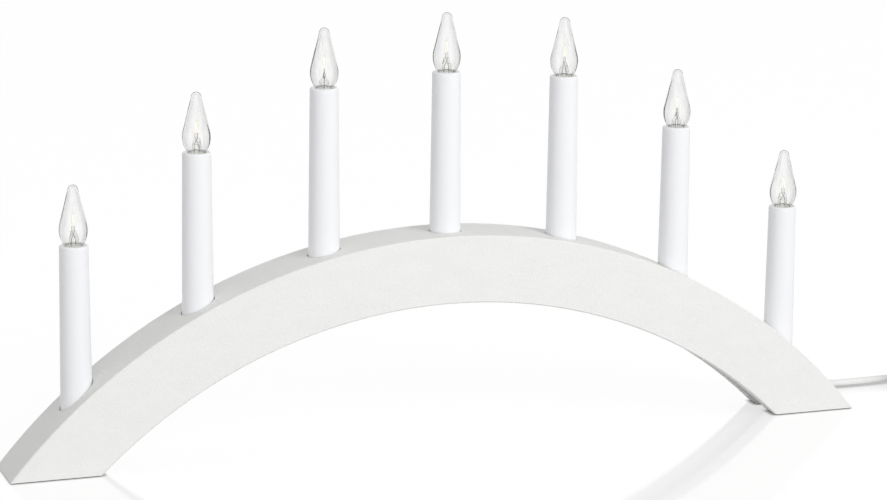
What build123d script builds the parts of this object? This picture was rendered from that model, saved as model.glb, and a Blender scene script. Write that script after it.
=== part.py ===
from build123d import *
import math
import os

# A candle arch: a painted wooden arch on two flat feet, with seven electric candles in its top.
# Millimetres, +X along the arch, -Y its front, +Z up, origin on the floor under the crown.
os.makedirs("parts", exist_ok=True)

# Arch: a board between two circular arcs
arch_span = 480.0
arch_rise = 113.7
arch_depth = 35.0
leg_width = 48.0
crown_thickness = 36.4
edge_break = 0.6
groove_width = 12.0
groove_depth = 12.0

# Candles, from left to right: how far each stands out of the arch on its axis and off its even place
end_margin = 38.4
candle_exposed = (78.9, 81.1, 87.6, 85.8, 88.2, 80.5, 75.2)
candle_slips = (0.4, -1.6, 0.0, 0.5, 0.3, 0.0, -1.1)
least_seat_depth = 9.6
seat_gap = 0.4
grip_clearance = 0.05
grip_length = 8.0
grip_rib_width = 1.2
grip_rib_count = 4
grip_start = 45
rim_round = 0.9

# Screw lamp, down from the rim of its sleeve
lamp_angles = (24, -38, 70, 8, -62, 41, -15)
cap_diameter = 9.5
cap_wall = 0.3
cap_drop = 2.6
cap_length = 10.2
cap_floor = 0.8
nose_diameter = 6.4
nose_height = 2.0
pip_diameter = 4.0
pip_height = 0.9
neck_depth = 3.4
cement_gap = 0.05

# Lamp glass, up from the rim
bulb_height = 31.4
belly_diameter = 15.4
belly_height = 8.0
belly_curve = 13.5
tip_curve = 3.2
glass_wall = 0.6
stem_diameter = 5.0
stem_height = 4.6
stem_wall = 0.7
flare_thickness = 1.0
pinch_width = 4.0
pinch_thickness = 1.8
pinch_height = 2.8
pinch_shoulder = 0.25
lead_diameter = 0.4
lead_spacing = 2.2
lead_height = 3.6
filament_spread = 3.6
filament_top = 19.0
filament_bend = 0.5

# Holder, screw shell and centre contact
thread_clearance = 0.1
fit_clearance = 0.05
shell_wall = 0.35
shell_drop = 1.65
shell_seat_clearance = 0.4
holder_wall = 1.0
holder_recess = 0.15
holder_length = 23.85
holder_ledge = 0.5
chamber_clearance = 0.4
sleeve_wall = 1.25
sleeve_flare = 1.8
tongue_width = 3.6
tongue_thickness = 0.4
tongue_leg = 3.8
tongue_tail = 2.2
tongue_bend = 0.6
tongue_clearance = 0.25

# Wiring
wire_diameter = 1.5
wire_floor_gap = 0.7
wire_lane = 1.6
wire_spread = 1.9
wire_bend = 3.0
wire_entry = 3.0
wire_hole_diameter = 10.0
wire_hole_break = 3.2
core_spacing = 1.8
core_gather = 7.0
core_bend = 1.5
return_lead_in = 12.0
link_steps = 3
return_steps = 16
retainer_length = 5.0
retainer_thickness = 1.2
retainer_gap = 0.3

# Cord, bushing, coil and plug
cord_diameter = 4.0
exit_inset = 5.0
exit_height_share = 0.39824
exit_slant = 45
sheath_end = 1.2
bushing_wall = 1.4
cord_clearance = 0.1
coil_inner_radius = 19.0
coil_step = 4.7
coil_layer = 4.5
coil_half_turns = (5, 4, 4, 4)
coil_points = 1500
tie_thickness = 0.6
tie_gap = 0.3
tie_width = 5.0
tie_angle = -35
inward_swing_share = 0.125
boot_length = 16.0
boot_rear_diameter = 6.0
boot_front_diameter = 9.0
boot_grooves = 3
boot_groove_width = 1.4
boot_groove_depth = 0.8
boot_growth = 0.6
plug_width = 35.3
plug_height = 13.7
plug_corner = 5.0
plug_skirt = 10.0
plug_waist_width = 20.0
plug_waist_height = 12.0
plug_waist_length = 13.0
plug_taper_length = 13.0
plug_rear_width = 11.0
plug_rear_height = 10.0
plug_rear_corner = 4.0
pin_diameter = 4.0
pin_pitch = 19.0
pin_length = 19.0
pin_sleeve_length = 10.0
pin_sleeve_diameter = 3.8
pin_shank_diameter = 2.8
pin_root = 8.0
pin_dome_share = 0.4

overrun = 1.0

# The free cord's points, chosen along the floor from the back of the right leg to the coil,
# and from the coil to the plug
cord_lead_points = [
    (207.09, 16.09, 7.0),
    (213.0, 22.0, 7.0),
    (222.6, 26.3, 4.9),
    (234.0, 26.9, 2.8),
    (252.0, 26.4, 2.1),
    (272.0, 26.7, 2.1),
    (290.0, 26.9, 2.4),
    (303.0, 27.0, 2.9),
    (314.0, 27.0, 2.9),
]
cord_tail_points = [
    (322.0, 24.65, 16.4),
    (331.0, 24.65, 16.4),
    (343.0, 24.6, 13.4),
    (355.0, 24.5, 8.9),
    (366.0, 24.4, 6.85),
    (375.0, 24.4, 6.85),
]

# Sizes that follow from the ones above
half_span = arch_span / 2
half_opening = half_span - leg_width
opening_rise = arch_rise - crown_thickness
outer_radius = (half_span**2 + arch_rise**2) / (2 * arch_rise)
outer_centre = arch_rise - outer_radius
opening_radius = (half_opening**2 + opening_rise**2) / (2 * opening_rise)
opening_centre = opening_rise - opening_radius
groove_radius = opening_radius + groove_depth
wire_radius = groove_radius - wire_floor_gap - wire_diameter / 2

cap_radius = cap_diameter / 2
shell_inner = cap_radius + thread_clearance
shell_outer = shell_inner + shell_wall
holder_bore = shell_outer + fit_clearance
holder_outer = holder_bore + holder_wall
sleeve_bore = holder_outer + fit_clearance
sleeve_rim_radius = sleeve_bore + sleeve_wall
sleeve_base_radius = sleeve_rim_radius + sleeve_flare / 2
sleeve_length = max(candle_exposed) + least_seat_depth
seat_radius = sleeve_base_radius + seat_gap
holder_bottom = holder_recess + holder_length
shell_seat = cap_drop + cap_length + shell_seat_clearance
chamber_radius = nose_diameter / 2 + chamber_clearance
pip_bottom = cap_drop + cap_length + nose_height + pip_height
neck_radius = cap_radius - cap_wall - cement_gap
neck_bottom = cap_drop + neck_depth
stem_top = stem_height + pinch_height

plug_back = boot_length + plug_taper_length
plug_skirt_back = plug_back + plug_waist_length
plug_face = plug_skirt_back + plug_skirt


def height_on(radius, centre, x):
    """Height at x of an arc that is centred under the crown."""
    return centre + math.sqrt(radius**2 - x**2)


def candle_list():
    """Number, place along the arch and rim height of each candle, from left to right."""
    middle = len(candle_exposed) // 2
    pitch = (half_span - end_margin) / middle
    found = []
    for place, (exposed, slip) in enumerate(zip(candle_exposed, candle_slips)):
        x = (place - middle) * pitch + slip
        found.append((place + 1, x, height_on(outer_radius, outer_centre, x) + exposed))
    return found


candles = candle_list()

# Cord hole, under the last candle's seat
last_seat = candles[-1][2] - sleeve_length
exit_x = half_opening + exit_inset
exit_direction = Vector(math.sin(math.radians(exit_slant)), math.cos(math.radians(exit_slant)), 0)
exit_wall = (arch_depth - groove_width) / 2 / math.cos(math.radians(exit_slant))
exit_inner = Vector(exit_x, groove_width / 2, last_seat * exit_height_share)
cord_radius = cord_diameter / 2
bushing_bore = cord_radius + cord_clearance
bushing_radius = bushing_bore + bushing_wall
exit_hole_radius = bushing_radius + fit_clearance
exit_lap = exit_hole_radius * math.tan(math.radians(exit_slant)) + overrun
sheath_length = sheath_end + exit_wall - cord_radius * math.tan(math.radians(exit_slant))


def upright(x, rim, angle=0):
    """Plane through a candle's axis, with its origin at the rim and its own Y upwards."""
    turn = math.radians(angle)
    return Plane(
        origin=(x, 0, rim),
        x_dir=(math.cos(turn), math.sin(turn), 0),
        z_dir=(math.sin(turn), -math.cos(turn), 0),
    )


def axis_at(x):
    """Vertical axis of the candle at x."""
    return Axis((x, 0, 0), (0, 0, 1))


def save(part, name):
    """Label a finished piece and write it."""
    part.label = name
    export_step(part, f"parts/{name}.step")


def arch_body():
    """The board with its groove, candle bores and cord hole."""
    with BuildPart() as arch:
        with BuildSketch(Plane.XZ):
            with Locations((0, outer_centre)):
                Circle(outer_radius)
            with Locations((0, opening_centre)):
                Circle(opening_radius, mode=Mode.SUBTRACT)
            with Locations((0, -overrun)):
                Rectangle(arch_span * 2, arch_span, align=(Align.CENTER, Align.MIN), mode=Mode.INTERSECT)
        extrude(amount=arch_depth / 2, both=True)
        chamfer(arch.edges().filter_by(GeomType.CIRCLE), edge_break)
        split(bisect_by=Plane.XY, keep=Keep.TOP)
        with BuildSketch(Plane.XZ):
            with Locations((0, opening_centre)):
                Circle(groove_radius)
                Circle(opening_radius - overrun, mode=Mode.SUBTRACT)
        extrude(amount=groove_width / 2, both=True, mode=Mode.SUBTRACT)
        for number, x, rim in candles:
            seat = rim - sleeve_length
            break_through = height_on(groove_radius, opening_centre, x) - wire_hole_break
            with BuildSketch(Plane.XY.offset(seat)):
                with Locations((x, 0)):
                    Circle(seat_radius)
            extrude(amount=sleeve_length, mode=Mode.SUBTRACT)
            with BuildSketch(Plane.XY.offset(break_through)):
                with Locations((x, 0)):
                    Circle(wire_hole_diameter / 2)
            extrude(amount=seat - break_through + overrun, mode=Mode.SUBTRACT)
        with BuildSketch(Plane(exit_inner - exit_direction * exit_lap, z_dir=exit_direction)):
            Circle(exit_hole_radius)
        extrude(amount=exit_wall + 2 * exit_lap, mode=Mode.SUBTRACT)
    return arch.part


def candle_sleeve(x, rim):
    """Tapered tube with a counterbore for the holder and grip ribs round its foot."""
    with BuildPart() as sleeve:
        with BuildSketch(upright(x, rim)):
            with BuildLine():
                Polyline(
                    (sleeve_bore, 0),
                    (sleeve_rim_radius, 0),
                    (sleeve_base_radius, -sleeve_length),
                    (sleeve_bore - holder_ledge, -sleeve_length),
                    (sleeve_bore - holder_ledge, -holder_bottom),
                    (sleeve_bore, -holder_bottom),
                    close=True,
                )
            make_face()
        revolve(axis=axis_at(x))
        top_edges = sleeve.edges().filter_by(GeomType.CIRCLE).group_by(Axis.Z)[-1]
        fillet(top_edges.sort_by(SortBy.RADIUS)[-1], rim_round)
        rib_reach = seat_radius - grip_clearance - sleeve_bore
        with BuildSketch(Plane.XY.offset(rim - sleeve_length)):
            with Locations((x, 0)):
                with PolarLocations(sleeve_bore, grip_rib_count, start_angle=grip_start):
                    Rectangle(rib_reach, grip_rib_width, align=(Align.MIN, Align.CENTER))
                Circle(seat_radius - grip_clearance, mode=Mode.INTERSECT)
        extrude(amount=grip_length)
    return sleeve.part


def lamp_holder(x, rim):
    """Moulded insert: a bore for the screw shell above a chamber for the contact."""
    with BuildPart() as holder:
        with BuildSketch(upright(x, rim)):
            with BuildLine():
                Polyline(
                    (holder_bore, -holder_recess),
                    (holder_outer, -holder_recess),
                    (holder_outer, -holder_bottom),
                    (chamber_radius, -holder_bottom),
                    (chamber_radius, -shell_seat),
                    (holder_bore, -shell_seat),
                    close=True,
                )
            make_face()
        revolve(axis=axis_at(x))
    return holder.part


def screw_shell(x, rim):
    """Metal socket that the lamp's cap screws into."""
    with BuildPart() as shell:
        with BuildSketch(Plane.XY.offset(rim - shell_seat)):
            with Locations((x, 0)):
                Circle(shell_outer)
                Circle(shell_inner, mode=Mode.SUBTRACT)
        extrude(amount=shell_seat - holder_recess - shell_drop)
    return shell.part


def contact_tongue(x, rim):
    """Bent strip whose flat end presses on the lamp's pip."""
    reach = math.sqrt(chamber_radius**2 - (tongue_width / 2) ** 2) - tongue_clearance
    bend_x = reach - tongue_thickness / 2
    height = -pip_bottom - tongue_thickness / 2
    with BuildPart() as tongue:
        with BuildSketch(upright(x, rim)):
            with BuildLine():
                FilletPolyline(
                    (-tongue_tail, height),
                    (bend_x, height),
                    (bend_x, height - tongue_leg),
                    radius=tongue_bend,
                )
            trace(line_width=tongue_thickness)
        extrude(amount=tongue_width / 2, both=True)
    return tongue.part


def bulb_cap(x, rim):
    """Thin metal cap, open at the top for the glass, with a nose and a contact pip."""
    bottom = cap_drop + cap_length
    with BuildPart() as cap:
        with BuildSketch(upright(x, rim)):
            with BuildLine():
                Polyline(
                    (cap_radius - cap_wall, -cap_drop),
                    (cap_radius, -cap_drop),
                    (cap_radius, -bottom),
                    (nose_diameter / 2, -bottom),
                    (pip_diameter / 2, -bottom - nose_height),
                    (pip_diameter / 2, -pip_bottom),
                    (0, -pip_bottom),
                    (0, cap_floor - bottom),
                    (cap_radius - cap_wall, cap_floor - bottom),
                    close=True,
                )
            make_face()
        revolve(axis=axis_at(x))
    return cap.part


def bulb_glass(x, rim, angle):
    """Thin cone-shaped envelope, with the stem and its flattened pinch sealed in."""
    belly_centre = Vector(belly_diameter / 2 - belly_curve, belly_height)
    tip_centre = Vector(0, bulb_height - tip_curve)
    between = tip_centre - belly_centre
    lean = math.acos((belly_curve - tip_curve) / between.length)
    side_angle = math.degrees(math.atan2(between.Y, between.X) - lean)
    with BuildPart() as glass:
        with BuildSketch(upright(x, rim)):
            for inset, mode in ((0, Mode.ADD), (glass_wall, Mode.SUBTRACT)):
                neck = neck_radius - inset
                belly = belly_curve - inset
                neck_angle = -math.degrees(math.acos((neck - belly_centre.X) / belly))
                with BuildLine():
                    belly_arc = CenterArc(belly_centre, belly, neck_angle, side_angle - neck_angle)
                    tip_arc = CenterArc(tip_centre, tip_curve - inset, side_angle, 90 - side_angle)
                    Line(belly_arc @ 1, tip_arc @ 0)
                    Polyline(tip_arc @ 1, (0, -neck_bottom), (neck, -neck_bottom), belly_arc @ 0)
                make_face(mode=mode)
            with BuildLine():
                Polyline(
                    (0, stem_height),
                    (stem_diameter / 2, stem_height),
                    (stem_diameter / 2, flare_thickness - neck_bottom),
                    (neck_radius - glass_wall / 2, flare_thickness - neck_bottom),
                    (neck_radius - glass_wall / 2, -neck_bottom),
                    (stem_diameter / 2 - stem_wall, -neck_bottom),
                    (stem_diameter / 2 - stem_wall, stem_height - stem_wall),
                    (0, stem_height - stem_wall),
                    close=True,
                )
            make_face()
        revolve(axis=axis_at(x))
        top = upright(x, rim, angle)
        foot = Plane(origin=(x, 0, rim + stem_height), x_dir=top.x_dir, z_dir=(0, 0, 1))
        with BuildSketch(foot):
            Ellipse(stem_diameter / 2 - pinch_shoulder, stem_diameter / 2 - stem_wall)
        with BuildSketch(foot.offset(pinch_height)):
            Ellipse(pinch_width / 2, pinch_thickness / 2)
        loft()
    return glass.part


def bulb_filament(x, rim, angle):
    """Two lead wires that splay out of the pinch and the filament that joins them at the top."""
    with BuildPart() as filament:
        with BuildLine(upright(x, rim, angle)) as route:
            FilletPolyline(
                (-lead_spacing / 2, stem_top),
                (-filament_spread / 2, stem_top + lead_height),
                (0, filament_top),
                (filament_spread / 2, stem_top + lead_height),
                (lead_spacing / 2, stem_top),
                radius=filament_bend,
            )
        with BuildSketch(Plane(route.line @ 0, z_dir=route.line % 0)):
            Circle(lead_diameter / 2)
        sweep()
    return filament.part


def cord_tube(points, radii, diameter):
    """Round tube along straight runs that are joined by tangent arcs."""
    with BuildPart() as tube:
        with BuildLine() as route:
            FilletPolyline(*points, radius=radii)
        with BuildSketch(Plane(route.line @ 0, z_dir=route.line % 0)):
            Circle(diameter / 2)
        sweep()
    return tube.part, route.wire().length


def smooth_radii(points, run_share=0.45):
    """For each corner, the largest arc that leaves its two runs room."""
    radii = []
    for before, corner, after in zip(points, points[1:], points[2:]):
        arriving = Vector(corner) - Vector(before)
        leaving = Vector(after) - Vector(corner)
        half_turn = math.radians(arriving.get_angle(leaving)) / 2
        radii.append(run_share * min(arriving.length, leaving.length) / math.tan(half_turn))
    return radii


def groove_angle(x):
    """Angle from the crown of the point at x on the wires' arc in the groove."""
    return math.asin(x / wire_radius)


def groove_points(start_angle, end_angle, steps, lane):
    """Corners of a wire that follows the groove between two angles, without its ends."""
    step = (end_angle - start_angle) / steps
    radius = wire_radius / math.cos(step / 2)
    angles = [start_angle + count * step for count in range(1, steps)]
    return [(radius * math.sin(a), lane, opening_centre + radius * math.cos(a)) for a in angles]


def harness_wires():
    """Series wires from candle to candle, the return wire, the feed and the sheath's inner end."""
    tops = [rim - holder_bottom + wire_entry for number, x, rim in candles]
    wires = []
    for place, (left, right) in enumerate(zip(candles, candles[1:])):
        start = left[1] + wire_spread
        end = right[1] - wire_spread
        points = [(start, wire_lane, tops[place])]
        points.append((start, wire_lane, height_on(wire_radius, opening_centre, start)))
        points += groove_points(groove_angle(start), groove_angle(end), link_steps, wire_lane)
        points.append((end, wire_lane, height_on(wire_radius, opening_centre, end)))
        points.append((end, wire_lane, tops[place + 1]))
        radii = smooth_radii(points)
        radii[0] = wire_bend
        radii[-1] = wire_bend
        wires.append(cord_tube(points, radii, wire_diameter)[0])

    sheath = exit_inner - exit_direction * sheath_end
    gather = sheath - exit_direction * core_gather
    lift = Vector(0, 0, core_spacing / 2)
    return_x = candles[0][1] - wire_spread
    return_end = exit_x - return_lead_in
    points = [(return_x, -wire_lane, tops[0])]
    points.append((return_x, -wire_lane, height_on(wire_radius, opening_centre, return_x)))
    points += groove_points(groove_angle(return_x), groove_angle(return_end), return_steps, -wire_lane)
    points.append((return_end, -wire_lane, height_on(wire_radius, opening_centre, return_end)))
    points.append(tuple(gather + lift))
    points.append(tuple(sheath + lift))
    radii = smooth_radii(points)
    radii[0] = wire_bend
    wires.append(cord_tube(points, radii, wire_diameter)[0])

    feed_x = candles[-1][1] + wire_spread
    points = [
        (feed_x, -wire_lane, tops[-1]),
        (feed_x, -wire_lane, (sheath - lift).Z),
        tuple(gather - lift),
        tuple(sheath - lift),
    ]
    wires.append(cord_tube(points, [wire_bend, core_bend], wire_diameter)[0])

    with BuildPart() as harness:
        add(wires)
        with BuildSketch(Plane(sheath, z_dir=exit_direction)):
            Circle(cord_radius)
        extrude(amount=sheath_length)
    return harness.part


def wire_retainers():
    """Strips pressed across the groove, halfway between the candles, under the wires."""
    outer = wire_radius - wire_diameter / 2 - retainer_gap
    with BuildPart() as retainers:
        for (number, x, rim), (after, next_x, next_rim) in zip(candles, candles[1:]):
            angle = math.asin((x + next_x) / 2 / wire_radius)
            outward = Vector(math.sin(angle), 0, math.cos(angle))
            seat = Vector(0, 0, opening_centre) + outward * outer
            with BuildSketch(Plane(seat, x_dir=(0, 1, 0), z_dir=outward)):
                Rectangle(groove_width, retainer_length)
            extrude(amount=-retainer_thickness)
    return retainers.part


def cord_bushing():
    """Ferrule in the slanted cord hole, cut flush with the groove and the back of the leg."""
    with BuildPart() as bushing:
        with BuildSketch(Plane(exit_inner - exit_direction * exit_lap, z_dir=exit_direction)):
            Circle(bushing_radius)
            Circle(bushing_bore, mode=Mode.SUBTRACT)
        extrude(amount=exit_wall + 2 * exit_lap)
        split(bisect_by=Plane.XZ.offset(-groove_width / 2), keep=Keep.BOTTOM)
        split(bisect_by=Plane.XZ.offset(-arch_depth / 2), keep=Keep.TOP)
    return bushing.part


def free_cord(points):
    """A free stretch of the cord, with its bend radii and volume printed."""
    radii = smooth_radii(points)
    tube, length = cord_tube(points, radii, cord_diameter)
    plain = math.pi * cord_radius**2 * length
    print("cord stretch", round(length, 1), "radii", [round(r, 1) for r in radii])
    print("volume over section times length", round(tube.volume / plain, 4))
    return tube, length


def coil_samples():
    """Place, height and inward rate of the coil at each half turn, layer by layer."""
    half_turns = coil_half_turns[0]
    radius = coil_inner_radius + half_turns * coil_step / 2
    height = tie_thickness + tie_gap + cord_radius
    rate = coil_step / math.tau
    samples = [(radius, height, 0)]
    way = -1
    for layer, half_turns in enumerate(coil_half_turns):
        for count in range(half_turns):
            radius += way * coil_step / 2
            samples.append((radius, height, way * rate))
        way = -way
        if layer < len(coil_half_turns) - 1:
            height += coil_layer
            samples.append((radius, height, way * rate))
    samples[-1] = (radius, height, 0)
    return samples


def coil_frames():
    """Points and directions of the coil's centre line at each half turn."""
    samples = coil_samples()
    start = Vector(cord_lead_points[-1]) + Vector(cord_diameter, 0, 0)
    centre = Vector(start.X, start.Y - samples[0][0], 0)
    frames = []
    for count, (radius, height, rate) in enumerate(samples):
        side = (-1) ** count
        place = centre + Vector(0, side * radius, height)
        frames.append((place, Vector(side * radius, side * rate, 0).normalized()))
    return frames, centre


def biarc_joint(start, start_way, end, end_way):
    """Where two arcs that leave start and reach end along the given directions meet."""
    chord = end - start
    both = start_way + end_way
    spread = 2 * (1 - start_way.dot(end_way))
    across = chord.dot(both)
    reach = (math.sqrt(across**2 + spread * chord.dot(chord)) - across) / spread
    return (start + start_way * reach + end - end_way * reach) / 2


def cord_coil():
    """One unbroken tube, wound in and out in layers, with a straight run at each end."""
    frames, centre = coil_frames()
    with BuildPart() as coil:
        with BuildLine() as route:
            Line(frames[0][0] - frames[0][1] * cord_diameter, frames[0][0])
            for (start, start_way), (end, end_way) in zip(frames, frames[1:]):
                joint = biarc_joint(start, start_way, end, end_way)
                first = TangentArc(start, joint, tangent=start_way)
                TangentArc(joint, end, tangent=first % 1)
            Line(frames[-1][0], frames[-1][0] + frames[-1][1] * cord_diameter)
        with BuildSketch(Plane(route.line @ 0, z_dir=route.line % 0)):
            Circle(cord_radius)
        sweep()
    path = route.wire()
    length = path.length
    points = [path @ (count / coil_points) for count in range(coil_points + 1)]
    half_turn = math.pi * coil_inner_radius
    skip = math.ceil(half_turn / (length / coil_points))
    nearest = min(
        (points[i] - points[j]).length
        for i in range(len(points))
        for j in range(i + skip, len(points))
    )
    plain = math.pi * cord_radius**2 * length
    print("coil", round(length, 1), "least gap to itself", round(nearest - cord_diameter, 3))
    print("volume over section times length", round(coil.part.volume / plain, 4))
    return coil.part, length


def coil_tie():
    """Band round the coil's bundle of turns."""
    frames, centre = coil_frames()
    samples = coil_samples()
    margin = cord_radius + tie_gap
    inner = coil_inner_radius - coil_step * inward_swing_share - margin
    outer = samples[0][0] + margin
    low = samples[0][1] - margin
    high = samples[-1][1] + margin
    turn = math.radians(tie_angle)
    outward = Vector(math.cos(turn), math.sin(turn), 0)
    middle = centre + outward * (inner + outer) / 2 + Vector(0, 0, (low + high) / 2)
    across = Vector(-math.sin(turn), math.cos(turn), 0)
    with BuildPart() as tie:
        with BuildSketch(Plane(middle, x_dir=outward, z_dir=across)):
            RectangleRounded(
                outer - inner + 2 * tie_thickness, high - low + 2 * tie_thickness, margin + tie_thickness
            )
            RectangleRounded(outer - inner, high - low, margin, mode=Mode.SUBTRACT)
        extrude(amount=tie_width / 2, both=True)
    return tie.part


def across_plug(distance):
    """Plane across the plug, at a distance in front of the cord's end."""
    end = Vector(cord_tail_points[-1])
    return Plane(end + Vector(distance, 0, 0), x_dir=(0, 1, 0), z_dir=(1, 0, 0))


def plug_body():
    """Flat moulded plug: grooved boot, taper, waist and skirt, with sleeves round the pins."""
    with BuildPart() as plug:
        with BuildSketch(across_plug(0)):
            Circle(boot_rear_diameter / 2)
        with BuildSketch(across_plug(boot_length)):
            Circle(boot_front_diameter / 2)
        loft()
        pitch = boot_length / (boot_grooves + 1)
        for count in range(boot_grooves):
            groove_floor = boot_rear_diameter / 2 - boot_groove_depth + count * boot_growth
            with BuildSketch(across_plug((count + 1) * pitch - boot_groove_width / 2)):
                Circle(boot_front_diameter)
                Circle(groove_floor, mode=Mode.SUBTRACT)
            extrude(amount=boot_groove_width, mode=Mode.SUBTRACT)
        with BuildSketch(across_plug(boot_length)):
            RectangleRounded(plug_rear_width, plug_rear_height, plug_rear_corner)
        with BuildSketch(across_plug(plug_back)):
            RectangleRounded(plug_waist_width, plug_waist_height, plug_corner)
        with BuildSketch(across_plug(plug_skirt_back)):
            RectangleRounded(plug_width, plug_height, plug_corner)
        loft()
        with BuildSketch(across_plug(plug_skirt_back)):
            RectangleRounded(plug_width, plug_height, plug_corner)
        extrude(amount=plug_skirt)
        with BuildSketch(across_plug(plug_face)):
            with GridLocations(pin_pitch, 0, 2, 1):
                Circle(pin_sleeve_diameter / 2)
        extrude(amount=pin_sleeve_length)
        with BuildSketch(across_plug(plug_face - pin_root)):
            with GridLocations(pin_pitch, 0, 2, 1):
                Circle(pin_shank_diameter / 2 + fit_clearance)
        extrude(amount=pin_root + pin_sleeve_length + overrun, mode=Mode.SUBTRACT)
    return plug.part


def plug_pins():
    """Two round pins, thinner inside their sleeves, with domed tips."""
    with BuildPart() as pins:
        with BuildSketch(across_plug(plug_face - pin_root)):
            with GridLocations(pin_pitch, 0, 2, 1):
                Circle(pin_shank_diameter / 2)
        extrude(amount=pin_root + pin_sleeve_length)
        with BuildSketch(across_plug(plug_face + pin_sleeve_length)):
            with GridLocations(pin_pitch, 0, 2, 1):
                Circle(pin_diameter / 2)
        extrude(amount=pin_length - pin_sleeve_length)
        tips = pins.edges().filter_by(GeomType.CIRCLE).group_by(Axis.X)[-1]
        fillet(tips, pin_diameter * pin_dome_share)
    return pins.part


save(arch_body(), "arch_body")
for (number, x, rim), lamp_angle in zip(candles, lamp_angles):
    save(candle_sleeve(x, rim), f"candle_sleeve_{number}")
    save(lamp_holder(x, rim), f"lamp_holder_{number}")
    save(screw_shell(x, rim), f"screw_shell_{number}")
    save(contact_tongue(x, rim), f"contact_tongue_{number}")
    save(bulb_cap(x, rim), f"bulb_cap_{number}")
    save(bulb_glass(x, rim, lamp_angle), f"bulb_glass_{number}")
    save(bulb_filament(x, rim, lamp_angle), f"bulb_filament_{number}")
save(harness_wires(), "harness_wires")
save(wire_retainers(), "wire_retainers")
save(cord_bushing(), "cord_bushing")
lead, lead_length = free_cord(cord_lead_points)
save(lead, "cord_lead")
coil, coil_length = cord_coil()
save(coil, "cord_coil")
tail, tail_length = free_cord(cord_tail_points)
save(tail, "cord_tail")
print("cord outside the arch", round(lead_length + coil_length + tail_length))
save(coil_tie(), "coil_tie")
save(plug_body(), "plug_body")
save(plug_pins(), "plug_pins")
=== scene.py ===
import math

import bpy
from mathutils import Matrix, Vector


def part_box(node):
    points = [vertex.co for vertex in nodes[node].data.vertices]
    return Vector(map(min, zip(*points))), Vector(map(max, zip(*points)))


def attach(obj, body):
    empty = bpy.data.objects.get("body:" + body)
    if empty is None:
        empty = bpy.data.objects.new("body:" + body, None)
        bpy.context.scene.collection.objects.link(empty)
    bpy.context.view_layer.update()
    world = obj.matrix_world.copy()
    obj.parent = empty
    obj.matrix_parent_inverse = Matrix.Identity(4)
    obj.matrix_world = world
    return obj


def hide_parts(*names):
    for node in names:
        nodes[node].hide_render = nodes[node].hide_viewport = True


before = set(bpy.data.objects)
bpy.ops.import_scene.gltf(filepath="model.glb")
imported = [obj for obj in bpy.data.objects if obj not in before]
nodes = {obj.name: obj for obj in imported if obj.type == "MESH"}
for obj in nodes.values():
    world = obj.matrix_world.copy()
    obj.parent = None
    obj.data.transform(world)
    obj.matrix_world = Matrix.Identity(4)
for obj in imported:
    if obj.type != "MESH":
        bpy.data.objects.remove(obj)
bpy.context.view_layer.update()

candle_numbers = range(1, 8)

# Sizes are in metres, in the frame of the solids; points of wires and cord are in millimetres
mm = 0.001

# Camera of the photograph: where it stands and how it looks, in radians
camera_place = (-0.5138, -1.4180, 0.4299)
camera_yaw = 0.3475
camera_pitch = -0.2135
camera_roll = 0.0098
camera_lens = 117.0
camera_sensor = 36.0
camera_range = (0.05, 50.0)

# Lamp glass, up from the rim of its sleeve; the wall is thicker at the tip and rippled inside
bulb_height = 31.4 * mm
belly_radius = 7.5 * mm
belly_height = 8.0 * mm
belly_curve = 13.5 * mm
tip_curve = 2.7 * mm
glass_wall = 0.6 * mm
tip_wall = 1.0 * mm
neck_radius = 4.4 * mm
neck_bottom = -6.0 * mm
stem_radius = 2.5 * mm
stem_wall = 0.6 * mm
stem_height = 4.6 * mm
seal_top = -0.15 * mm
glass_foot = -0.13 * mm
pinch_top = 7.4 * mm
lamp_angles = (24, -38, 70, 8, -62, 41, -15)
ripple_depth = 0.07 * mm
ripple_waves = ((6, 2.1, 0.4, 1.0), (10, 3.5, -1.0, 0.7))
pinch_start = 1.2 * mm
pinch_length = 3.0 * mm
pinch_squeeze = 0.55

# Wires in a lamp: one lead, which is mirrored for the other, a support and the coiled filament
lead_points = [
    (1.40, 0, -1.5),
    (1.40, 0, 0.5),
    (1.40, 0, 3.4),
    (0.60, 0.20, 4.8),
    (-0.80, 0.20, 6.8),
    (-1.00, 0.10, 8.2),
    (-0.90, 0, 10.2),
]
lead_diameter = 0.32 * mm
support_points = [(0, 0, 7.0), (0.1, 0, 9.5), (0, 0, 14.5), (0.2, 0, 16.6), (-0.2, 0, 16.9)]
support_diameter = 0.2 * mm
filament_diameter = 0.18 * mm
filament_steps = 160
filament_turns = 36
filament_radius = 0.20
filament_foot = 10.0
filament_rise = 5.8
filament_spread = (0.40, 0.50)

# Free cord: the route's points, as in the solids
cord_diameter = 4.0 * mm
cord_lead_points = [
    (207.09, 16.09, 7.0),
    (213.0, 22.0, 7.0),
    (222.6, 26.3, 4.9),
    (234.0, 26.9, 2.8),
    (252.0, 26.4, 2.1),
    (272.0, 26.7, 2.1),
    (290.0, 26.9, 2.4),
    (303.0, 27.0, 2.9),
    (314.0, 27.0, 2.9),
]
cord_tail_points = [
    (322.0, 24.65, 16.4),
    (331.0, 24.65, 16.4),
    (343.0, 24.6, 13.4),
    (355.0, 24.5, 8.9),
    (366.0, 24.4, 6.85),
    (375.0, 24.4, 6.85),
]
coil_centre = (318.0, -3.75)
coil_inner_radius = 19.0
coil_step = 4.7
coil_layer = 4.5
coil_half_turns = (5, 4, 4, 4)
coil_floor = 2.9
half_turn_points = 9

# Floor: a hair under the feet, so that a thin dark line of painted contact shade shows where they stand
floor_half = 6.0
floor_low = -0.45 * mm
floor_bounce = 0.68
floor_glow = 0.895
floor_shade = 0.14
floor_gloss = 0.07
floor_bend = 1.45
# Reach of the painted contact shade on the floor's glow
painted_shade_reach = 2.5 * mm

# Light: the strength of the world, and where the lamps stand, their power and their width
world_light = 0.555
light_aim = (0, 0, 0.1)
lights = {
    "key": ((1.20, -2.40, 1.60), 38.5, 1.5),
    "fill": ((-0.70, -2.35, 0.30), 12.0, 1.0),
}


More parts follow.
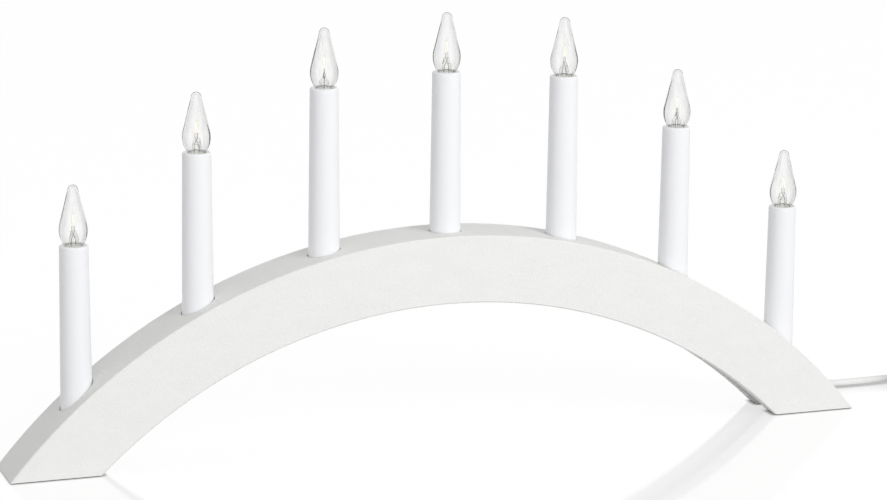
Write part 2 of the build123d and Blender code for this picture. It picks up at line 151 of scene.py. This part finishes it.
def link(obj):
    """Put a new object into the scene."""
    bpy.context.scene.collection.objects.link(obj)
    return obj


def new_material(name):
    """A node material and its main shader."""
    material = bpy.data.materials.new(name)
    material.use_nodes = True
    return material, material.node_tree.nodes["Principled BSDF"]


def add_node(material, kind, **values):
    """A node with its settings and socket values."""
    node = material.node_tree.nodes.new(kind)
    for name, value in values.items():
        if hasattr(node, name):
            setattr(node, name, value)
        else:
            node.inputs[name.replace("_", " ")].default_value = value
    return node


def join(material, out_socket, in_socket):
    """Link two sockets."""
    material.node_tree.links.new(out_socket, in_socket)


def grain(material, scale, detail, stretch=(1, 1, 1)):
    """Noise in the frame of the solids, stretched along its axes."""
    place = add_node(material, "ShaderNodeTexCoord")
    mapping = add_node(material, "ShaderNodeMapping")
    mapping.inputs["Scale"].default_value = stretch
    noise = add_node(material, "ShaderNodeTexNoise", Scale=scale, Detail=detail, Roughness=0.55)
    join(material, place.outputs["Object"], mapping.inputs["Vector"])
    join(material, mapping.outputs["Vector"], noise.inputs["Vector"])
    return noise.outputs["Fac"]


def tint(material, shader, factor, dark, light, low=0.3, high=0.7):
    """Base colour between two tones, by a factor."""
    ramp = add_node(material, "ShaderNodeValToRGB")
    ramp.color_ramp.elements[0].position = low
    ramp.color_ramp.elements[0].color = (*dark, 1)
    ramp.color_ramp.elements[1].position = high
    ramp.color_ramp.elements[1].color = (*light, 1)
    join(material, factor, ramp.inputs["Fac"])
    join(material, ramp.outputs["Color"], shader.inputs["Base Color"])


def vary_roughness(material, shader, factor, smooth, rough):
    """Roughness between two values, by a noise."""
    spread = add_node(material, "ShaderNodeMapRange")
    spread.inputs["From Min"].default_value = 0.3
    spread.inputs["From Max"].default_value = 0.7
    spread.inputs["To Min"].default_value = smooth
    spread.inputs["To Max"].default_value = rough
    join(material, factor, spread.inputs["Value"])
    join(material, spread.outputs["Result"], shader.inputs["Roughness"])


def relief(material, shader, factor, depth):
    """Bump of a real depth, by a noise."""
    bump = add_node(material, "ShaderNodeBump", Strength=1.0, Distance=depth)
    join(material, factor, bump.inputs["Height"])
    join(material, bump.outputs["Normal"], shader.inputs["Normal"])


def painted_wood():
    """White satin paint with a fine rolled texture."""
    material, shader = new_material("painted_wood")
    fine = grain(material, 900, 4)
    broad = grain(material, 60, 3, (1, 1, 2))
    tint(material, shader, broad, (0.850, 0.850, 0.832), (0.872, 0.872, 0.858))
    vary_roughness(material, shader, fine, 0.45, 0.62)
    relief(material, shader, fine, 0.22 * mm)
    shader.inputs["Specular IOR Level"].default_value = 0.35
    return material


def sleeve_plastic():
    """Smooth white plastic with faint flow marks along the moulding."""
    material, shader = new_material("sleeve_plastic")
    flow = grain(material, 120, 3, (1, 1, 0.25))
    tint(material, shader, flow, (0.905, 0.911, 0.930), (0.918, 0.923, 0.940))
    vary_roughness(material, shader, flow, 0.30, 0.42)
    relief(material, shader, flow, 0.08 * mm)
    shader.inputs["Subsurface Weight"].default_value = 0.15
    shader.inputs["Subsurface Radius"].default_value = (1.0, 1.0, 1.0)
    shader.inputs["Subsurface Scale"].default_value = 1.0 * mm
    return material


def dull_plastic(name, dark, light, scale=300, depth=0.04 * mm):
    """Moulded plastic with a slightly uneven skin."""
    material, shader = new_material(name)
    skin = grain(material, scale, 3)
    tint(material, shader, skin, dark, light)
    vary_roughness(material, shader, skin, 0.42, 0.58)
    relief(material, shader, skin, depth)
    return material


def plated_metal(name, dark, light, smooth, rough):
    """Drawn or pressed metal with fine marks across it."""
    material, shader = new_material(name)
    marks = grain(material, 700, 3, (1, 1, 6))
    tint(material, shader, marks, dark, light)
    vary_roughness(material, shader, marks, smooth, rough)
    relief(material, shader, marks, 0.02 * mm)
    shader.inputs["Metallic"].default_value = 1.0
    return material


def clear_glass(name, density, painted_edge_shade, bend):
    """Clear lamp glass with drawn streaks, whose tint greys where the eye looks along its wall and in
    fine streaks: a painted dark outline.
    """
    material, shader = new_material(name)
    waves = grain(material, 140, 2, (1, 1, 0.2))
    relief(material, shader, waves, 0.03 * mm)
    # Painted shade: the tint goes towards the edge tone where the eye looks along the wall, and in fine
    # vertical streaks
    along = add_node(material, "ShaderNodeLayerWeight", Blend=0.5)
    streaks = grain(material, 600, 2, (1, 1, 0.06))
    both = add_node(material, "ShaderNodeMath")
    join(material, along.outputs["Facing"], both.inputs[0])
    join(material, streaks, both.inputs[1])
    spread = add_node(material, "ShaderNodeMapRange")
    spread.inputs["From Min"].default_value = 0.52
    spread.inputs["From Max"].default_value = 1.35
    join(material, both.outputs["Value"], spread.inputs["Value"])
    tint(material, shader, spread.outputs["Result"], (1.0, 1.0, 0.995), painted_edge_shade, 0.0, 1.0)
    shader.inputs["Roughness"].default_value = 0.0
    shader.inputs["IOR"].default_value = bend
    shader.inputs["Transmission Weight"].default_value = 1.0
    # Grey absorption in the wall, darkest where the eye looks through the most glass: painted shade as
    # well
    absorb = add_node(material, "ShaderNodeVolumeAbsorption", Density=density)
    absorb.inputs["Color"].default_value = (0.46, 0.48, 0.48, 1)
    out = material.node_tree.nodes["Material Output"]
    join(material, absorb.outputs["Volume"], out.inputs["Volume"])
    return material


def painted_glow_filament():
    """Warm white filament, uneven along its coil, with a faint glow of its own: painted light."""
    material, shader = new_material("painted_glow_filament")
    turns = grain(material, 900, 2)
    tint(material, shader, turns, (0.80, 0.70, 0.50), (0.92, 0.86, 0.68))
    shader.inputs["Roughness"].default_value = 0.5
    # Painted light: a faint glow of its own in place of light reaching it through the glass
    shader.inputs["Emission Color"].default_value = (1.0, 0.94, 0.76, 1)
    shader.inputs["Emission Strength"].default_value = 0.55
    return material


def smooth_group():
    """Modifier that joins the faces of a solid's mesh and shades its curved ones smoothly."""
    group = bpy.data.node_groups.new("smooth_by_angle", "GeometryNodeTree")
    group.interface.new_socket("Geometry", in_out="INPUT", socket_type="NodeSocketGeometry")
    group.interface.new_socket("Geometry", in_out="OUTPUT", socket_type="NodeSocketGeometry")
    start = group.nodes.new("NodeGroupInput")
    end = group.nodes.new("NodeGroupOutput")
    merge = group.nodes.new("GeometryNodeMergeByDistance")
    merge.inputs["Distance"].default_value = 0.0005 * mm
    faces = group.nodes.new("GeometryNodeSetShadeSmooth")
    faces.domain = "FACE"
    edges = group.nodes.new("GeometryNodeSetShadeSmooth")
    edges.domain = "EDGE"
    angle = group.nodes.new("GeometryNodeInputMeshEdgeAngle")
    sharp = group.nodes.new("FunctionNodeCompare")
    sharp.data_type = "FLOAT"
    sharp.operation = "LESS_THAN"
    sharp.inputs["B"].default_value = math.radians(28)
    group.links.new(start.outputs[0], merge.inputs["Geometry"])
    group.links.new(merge.outputs["Geometry"], faces.inputs["Geometry"])
    group.links.new(faces.outputs["Geometry"], edges.inputs["Geometry"])
    group.links.new(angle.outputs["Unsigned Angle"], sharp.inputs["A"])
    group.links.new(sharp.outputs["Result"], edges.inputs["Shade Smooth"])
    group.links.new(edges.outputs["Geometry"], end.inputs[0])
    return group


def finish_node(name, material, group):
    """Give a solid its material and smooth shading."""
    obj = nodes[name]
    obj.data.materials.clear()
    obj.data.materials.append(material)
    modifier = obj.modifiers.new("smooth_by_angle", "NODES")
    modifier.node_group = group


def lathe(name, loop, place, material, segments, shape=None):
    """Closed mesh of an outline of radii and heights, turned about a vertical axis."""
    verts = []
    rings = []
    for radius, height in loop:
        if radius == 0:
            rings.append([len(verts)])
            verts.append((place[0], place[1], place[2] + height))
            continue
        ring = []
        for count in range(segments):
            angle = math.tau * count / segments
            here = shape(radius, height, angle) if shape else (radius, radius)
            ring.append(len(verts))
            verts.append((
                place[0] + here[0] * math.cos(angle),
                place[1] + here[1] * math.sin(angle),
                place[2] + height,
            ))
        rings.append(ring)
    faces = []
    for below, above in zip(rings, rings[1:] + rings[:1]):
        for count in range(segments):
            after = (count + 1) % segments
            corners = [below[count % len(below)], below[after % len(below)]]
            corners += [above[after % len(above)], above[count % len(above)]]
            face = list(dict.fromkeys(corners))
            if len(face) > 2:
                faces.append(face)
    mesh = bpy.data.meshes.new(name)
    mesh.from_pydata(verts, [], faces)
    mesh.shade_smooth()
    mesh.set_sharp_from_angle(angle=math.radians(40))
    mesh.materials.append(material)
    return link(bpy.data.objects.new(name, mesh))


def arc(centre, radius, start, end, steps):
    """Points on an arc, as radius and height."""
    turns = [math.radians(start + (end - start) * count / steps) for count in range(steps + 1)]
    return [(max(centre[0] + radius * math.cos(t), 0), centre[1] + radius * math.sin(t)) for t in turns]


def envelope_side(inset, tip_inset):
    """Outline of one side of the lamp glass, from its foot on the seal to its tip."""
    belly = belly_curve - inset
    centre = (belly_radius - belly_curve, belly_height)
    tip = tip_curve - tip_inset
    tip_centre = (0, bulb_height - tip_curve)
    rise = (tip_centre[0] - centre[0], tip_centre[1] - centre[1])
    reach = math.hypot(*rise)
    side = math.degrees(math.atan2(rise[1], rise[0]) - math.acos((belly - tip) / reach))
    foot = math.degrees(math.asin((glass_foot - centre[1]) / belly))
    outline = arc(centre, belly, foot, side, 22)
    outline += arc(tip_centre, tip, side, 90, 10)[:-1]
    outline.append((0, tip_centre[1] + tip))
    return outline


def lamp_glass(number, place, angle, material, stem_material):
    """Envelope of uneven drawn glass, with the stem tube and its flattened pinch inside."""
    turn = math.radians(angle)

    def drawn(radius, height, around):
        ripple = sum(
            share * math.cos(waves * around + phase + twist * turn)
            for waves, phase, twist, share in ripple_waves
        )
        thin = min(max(height / belly_height, 0), 1)
        wide = radius - ripple_depth * ripple * thin * min(radius / belly_radius, 1)
        return wide, wide

    outer = envelope_side(0, 0)
    inner = envelope_side(glass_wall, tip_wall)
    loop = outer + inner[::-1]
    inner_rows = set(inner)

    def shape(radius, height, around):
        return drawn(radius, height, around) if (radius, height) in inner_rows else (radius, radius)

    glass = lathe(f"lamp_glass_{number}", loop, place, material, 80, shape)

    bore = stem_radius - stem_wall
    stem_loop = [
        (bore, seal_top + 0.02 * mm),
        (stem_radius + 0.4 * mm, seal_top + 0.02 * mm),
        (stem_radius + 0.1 * mm, seal_top + 0.5 * mm),
        (stem_radius, stem_height - 1.2 * mm),
        (stem_radius - 0.1 * mm, stem_height),
        (stem_radius - 0.3 * mm, stem_height + 1.0 * mm),
        (2.1 * mm, stem_height + 1.9 * mm),
        (2.0 * mm, pinch_top - 0.3 * mm),
        (1.8 * mm, pinch_top),
        (0, pinch_top),
        (0, stem_height),
        (bore - 0.7 * mm, stem_height - 1.0 * mm),
        (bore, stem_height - 2.4 * mm),
    ]

    def pinched(radius, height, around):
        flat = min(max((height - stem_height + pinch_start) / pinch_length, 0), 1)
        flat = flat * flat * (3 - 2 * flat)
        return radius, radius * (1 - pinch_squeeze * flat)

    stem = lathe(f"lamp_stem_{number}", stem_loop, (0, 0, 0), stem_material, 40, pinched)
    stem.matrix_world = Matrix.Translation(place) @ Matrix.Rotation(turn, 4, "Z")
    for piece in (glass, stem):
        piece.visible_shadow = False
        piece.visible_diffuse = False
        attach(piece, f"lamp_{number}")
    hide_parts(f"bulb_glass_{number}")


def lamp_seal(number, place, material):
    """Pale seal that fills the neck under the glass and its stem, and holds them in the cap."""
    loop = [
        (0, neck_bottom),
        (neck_radius, neck_bottom),
        (neck_radius, -2.60 * mm),
        (neck_radius + 0.35 * mm, -2.55 * mm),
        (neck_radius + 0.40 * mm, -1.70 * mm),
        (neck_radius + 0.78 * mm, -0.90 * mm),
        (neck_radius + 0.78 * mm, seal_top - 0.06 * mm),
        (neck_radius + 0.72 * mm, seal_top),
        (0, seal_top),
    ]
    piece = lathe(f"lamp_seal_{number}", loop, place, material, 64)
    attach(piece, f"lamp_{number}")


def wire(name, points, diameter, material):
    """Round wire along a smooth curve."""
    curve = bpy.data.curves.new(name, "CURVE")
    curve.dimensions = "3D"
    curve.bevel_depth = diameter / 2
    curve.bevel_resolution = 3
    curve.use_fill_caps = True
    spline = curve.splines.new("NURBS")
    spline.points.add(len(points) - 1)
    for point, place in zip(spline.points, points):
        point.co = (*place, 1)
    spline.order_u = 3
    spline.use_endpoint_u = True
    spline.resolution_u = 6
    curve.materials.append(material)
    return link(bpy.data.objects.new(name, curve))


def lamp_wires(number, place, angle, lead_material, support_material, glow_material):
    """Lead wires through the pinch, a support and the coiled filament between the leads."""
    turn = Matrix.Translation(place) @ Matrix.Rotation(math.radians(angle), 4, "Z")

    def placed(points):
        return [tuple(turn @ Vector((x * mm, y * mm, z * mm))) for x, y, z in points]

    pieces = []
    for side in (-1, 1):
        lead = placed([(x * side, y * side, z) for x, y, z in lead_points])
        pieces.append(wire(f"lamp_lead_{number}_{side + 2}", lead, lead_diameter, lead_material))
    support = placed(support_points)
    pieces.append(wire(f"lamp_support_{number}", support, support_diameter, support_material))
    coil = []
    for count in range(filament_steps + 1):
        share = count / filament_steps
        side = 1 - 2 * share
        spread = filament_spread[0] + filament_spread[1] * abs(side) ** 6
        height = filament_foot + filament_rise * (1 - abs(side) ** 1.15)
        swing = math.tau * filament_turns * share
        across = spread * math.sin(math.pi / 2 * side) + filament_radius * math.cos(swing)
        coil.append((across, filament_radius * math.sin(swing), height))
    filament = wire(f"lamp_filament_{number}", placed(coil), filament_diameter, glow_material)
    pieces.append(filament)
    for piece in pieces:
        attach(piece, f"lamp_{number}")
    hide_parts(f"bulb_filament_{number}")


def coil_points():
    """Control points of the wound cord: layers that spiral in and out and climb between."""
    radius = coil_inner_radius + coil_half_turns[0] * coil_step / 2
    height = coil_floor
    stretch = 1 / math.cos(math.pi / (2 * half_turn_points))
    points = []
    turned = 0
    way = -1

    def half_turn(radius_gain, climb):
        for count in range(half_turn_points):
            share = (count + 0.5) / half_turn_points
            angle = math.pi * (turned + share)
            wide = (radius + radius_gain * share) * stretch
            up = height + climb * share
            points.append((
                coil_centre[0] + wide * math.sin(angle),
                coil_centre[1] + wide * math.cos(angle),
                up,
            ))

    for layer, half_turns in enumerate(coil_half_turns):
        for count in range(half_turns):
            half_turn(way * coil_step / 2, 0)
            radius += way * coil_step / 2
            turned += 1
        way = -way
        if layer < len(coil_half_turns) - 1:
            half_turn(0, coil_layer)
            height += coil_layer
            turned += 1
    return points


def free_cord(material):
    """The whole free cord, from the leg through its coil to the plug."""
    route = cord_lead_points + coil_points() + cord_tail_points
    cord = wire("cord", [(x * mm, y * mm, z * mm) for x, y, z in route], cord_diameter, material)
    cord.data.bevel_resolution = 5
    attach(cord, "root")
    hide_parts("cord_lead", "cord_coil", "cord_tail")


def camera():
    """The photograph's camera."""
    data = bpy.data.cameras.new("camera")
    data.lens = camera_lens
    data.sensor_width = camera_sensor
    data.clip_start, data.clip_end = camera_range
    forward = Vector((
        math.sin(camera_yaw) * math.cos(camera_pitch),
        math.cos(camera_yaw) * math.cos(camera_pitch),
        math.sin(camera_pitch),
    ))
    level = Vector((math.cos(camera_yaw), -math.sin(camera_yaw), 0))
    upright = level.cross(forward)
    right = math.cos(camera_roll) * level + math.sin(camera_roll) * upright
    up = -math.sin(camera_roll) * level + math.cos(camera_roll) * upright
    turn = Matrix((right, up, -forward)).transposed().to_4x4()
    obj = link(bpy.data.objects.new("camera", data))
    obj.matrix_world = Matrix.Translation(camera_place) @ turn
    bpy.context.scene.camera = obj


def seen_rays(tree):
    """Socket that is 1 for the rays of the eye, of reflections and of glass."""
    path = tree.nodes.new("ShaderNodeLightPath")
    total = path.outputs["Is Camera Ray"]
    for name in ("Is Glossy Ray", "Is Transmission Ray"):
        larger = tree.nodes.new("ShaderNodeMath")
        larger.operation = "MAXIMUM"
        tree.links.new(total, larger.inputs[0])
        tree.links.new(path.outputs[name], larger.inputs[1])
        total = larger.outputs[0]
    return total


def white_world(ambient):
    """White background, and an even soft light from all sides."""
    world = bpy.data.worlds.new("world")
    world.use_nodes = True
    bpy.context.scene.world = world
    tree = world.node_tree
    tree.nodes.clear()
    seen = tree.nodes.new("ShaderNodeBackground")
    seen.inputs["Color"].default_value = (1, 1, 1, 1)
    seen.inputs["Strength"].default_value = 1.0
    light = tree.nodes.new("ShaderNodeBackground")
    light.inputs["Color"].default_value = (1, 1, 1, 1)
    light.inputs["Strength"].default_value = ambient
    mix = tree.nodes.new("ShaderNodeMixShader")
    out = tree.nodes.new("ShaderNodeOutputWorld")
    tree.links.new(seen_rays(tree), mix.inputs[0])
    tree.links.new(light.outputs[0], mix.inputs[1])
    tree.links.new(seen.outputs[0], mix.inputs[2])
    tree.links.new(mix.outputs[0], out.inputs["Surface"])


def floor():
    """Glossy white floor that keeps the shadow and a faint reflection, with painted contact shade as a
    dark line at the feet.
    """
    mesh = bpy.data.meshes.new("floor")
    signs = ((-1, -1), (1, -1), (1, 1), (-1, 1))
    corners = [(x * floor_half, y * floor_half, floor_low) for x, y in signs]
    mesh.from_pydata(corners, [], [(0, 1, 2, 3)])
    obj = link(bpy.data.objects.new("floor", mesh))
    material = bpy.data.materials.new("floor")
    material.use_nodes = True
    tree = material.node_tree
    tree.nodes.clear()
    bounce = tree.nodes.new("ShaderNodeBsdfDiffuse")
    bounce.inputs["Color"].default_value = (floor_bounce, floor_bounce, floor_bounce, 1)
    glow = tree.nodes.new("ShaderNodeEmission")
    glow.inputs["Strength"].default_value = floor_glow
    # Painted shade: occlusion darkens the floor's glow near the feet and under the cord
    painted_contact_shade = tree.nodes.new("ShaderNodeAmbientOcclusion")
    painted_contact_shade.inputs["Distance"].default_value = painted_shade_reach
    shade = tree.nodes.new("ShaderNodeBsdfDiffuse")
    shade.inputs["Color"].default_value = (floor_shade, floor_shade, floor_shade, 1)
    white = tree.nodes.new("ShaderNodeAddShader")
    gloss = tree.nodes.new("ShaderNodeBsdfGlossy")
    gloss.inputs["Color"].default_value = (1, 1, 1, 1)
    gloss.inputs["Roughness"].default_value = floor_gloss
    mirror = tree.nodes.new("ShaderNodeFresnel")
    mirror.inputs["IOR"].default_value = floor_bend
    seen = tree.nodes.new("ShaderNodeMixShader")
    both = tree.nodes.new("ShaderNodeMixShader")
    out = tree.nodes.new("ShaderNodeOutputMaterial")
    tree.links.new(painted_contact_shade.outputs["Color"], glow.inputs["Color"])
    tree.links.new(glow.outputs[0], white.inputs[0])
    tree.links.new(shade.outputs[0], white.inputs[1])
    tree.links.new(mirror.outputs[0], seen.inputs[0])
    tree.links.new(white.outputs[0], seen.inputs[1])
    tree.links.new(gloss.outputs[0], seen.inputs[2])
    tree.links.new(seen_rays(tree), both.inputs[0])
    tree.links.new(bounce.outputs[0], both.inputs[1])
    tree.links.new(seen.outputs[0], both.inputs[2])
    tree.links.new(both.outputs[0], out.inputs["Surface"])
    mesh.materials.append(material)


def soft_light(name, place, power, width):
    """Broad soft light, placed at a point and aimed at the part."""
    data = bpy.data.lights.new(name, "AREA")
    data.energy = power
    data.size = width
    obj = link(bpy.data.objects.new(name, data))
    obj.location = place
    obj.visible_glossy = False
    obj.visible_transmission = False
    obj.rotation_mode = "QUATERNION"
    obj.rotation_quaternion = (Vector(light_aim) - Vector(place)).to_track_quat("-Z", "Y")


camera()
smooth = smooth_group()
paint = painted_wood()
sleeve = sleeve_plastic()
holder = dull_plastic("holder_plastic", (0.86, 0.86, 0.83), (0.90, 0.90, 0.87))
cement = dull_plastic("lamp_cement", (0.86, 0.86, 0.80), (0.92, 0.92, 0.87), 900, 0.08 * mm)
insulation = dull_plastic("wire_cover", (0.82, 0.82, 0.81), (0.88, 0.88, 0.87), 500, 0.02 * mm)
cover = dull_plastic("cord_cover", (0.84, 0.84, 0.83), (0.88, 0.88, 0.87), 420, 0.05 * mm)
tie = dull_plastic("tie_plastic", (0.70, 0.70, 0.71), (0.80, 0.80, 0.80), 600, 0.08 * mm)
plug = dull_plastic("plug_plastic", (0.80, 0.80, 0.79), (0.86, 0.86, 0.85), 380, 0.05 * mm)
brass = plated_metal("shell_brass", (0.62, 0.48, 0.24), (0.80, 0.66, 0.38), 0.25, 0.42)
nickel = plated_metal("cap_metal", (0.66, 0.63, 0.58), (0.82, 0.80, 0.76), 0.18, 0.34)
leads = plated_metal("lead_wire", (0.24, 0.20, 0.18), (0.44, 0.38, 0.34), 0.30, 0.50)
copper = plated_metal("support_wire", (0.62, 0.44, 0.34), (0.80, 0.64, 0.54), 0.30, 0.50)
# The third value of each glass is the painted shade tone of its outline
glass = clear_glass("lamp_glass", 45.0, (0.66, 0.67, 0.67), 1.47)
stem_glass = clear_glass("stem_glass", 30.0, (0.60, 0.61, 0.60), 1.2)
glow = painted_glow_filament()

finishes = {
    "arch_body": paint,
    "harness_wires": insulation,
    "wire_retainers": holder,
    "cord_bushing": holder,
    "coil_tie": tie,
    "plug_body": plug,
    "plug_pins": nickel,
}
for number in candle_numbers:
    finishes[f"candle_sleeve_{number}"] = sleeve
    finishes[f"lamp_holder_{number}"] = holder
    finishes[f"screw_shell_{number}"] = brass
    finishes[f"contact_tongue_{number}"] = brass
    finishes[f"bulb_cap_{number}"] = nickel
for name, material in finishes.items():
    finish_node(name, material, smooth)

for number, angle in zip(candle_numbers, lamp_angles):
    low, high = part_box(f"candle_sleeve_{number}")
    rim = ((low.x + high.x) / 2, (low.y + high.y) / 2, high.z)
    lamp_glass(number, rim, angle, glass, stem_glass)
    lamp_seal(number, rim, cement)
    lamp_wires(number, rim, angle, leads, copper, glow)

free_cord(cover)
floor()
white_world(world_light)
for name, (place, power, width) in lights.items():
    soft_light(name, place, power, width)

bpy.context.scene.view_settings.view_transform = "Standard"
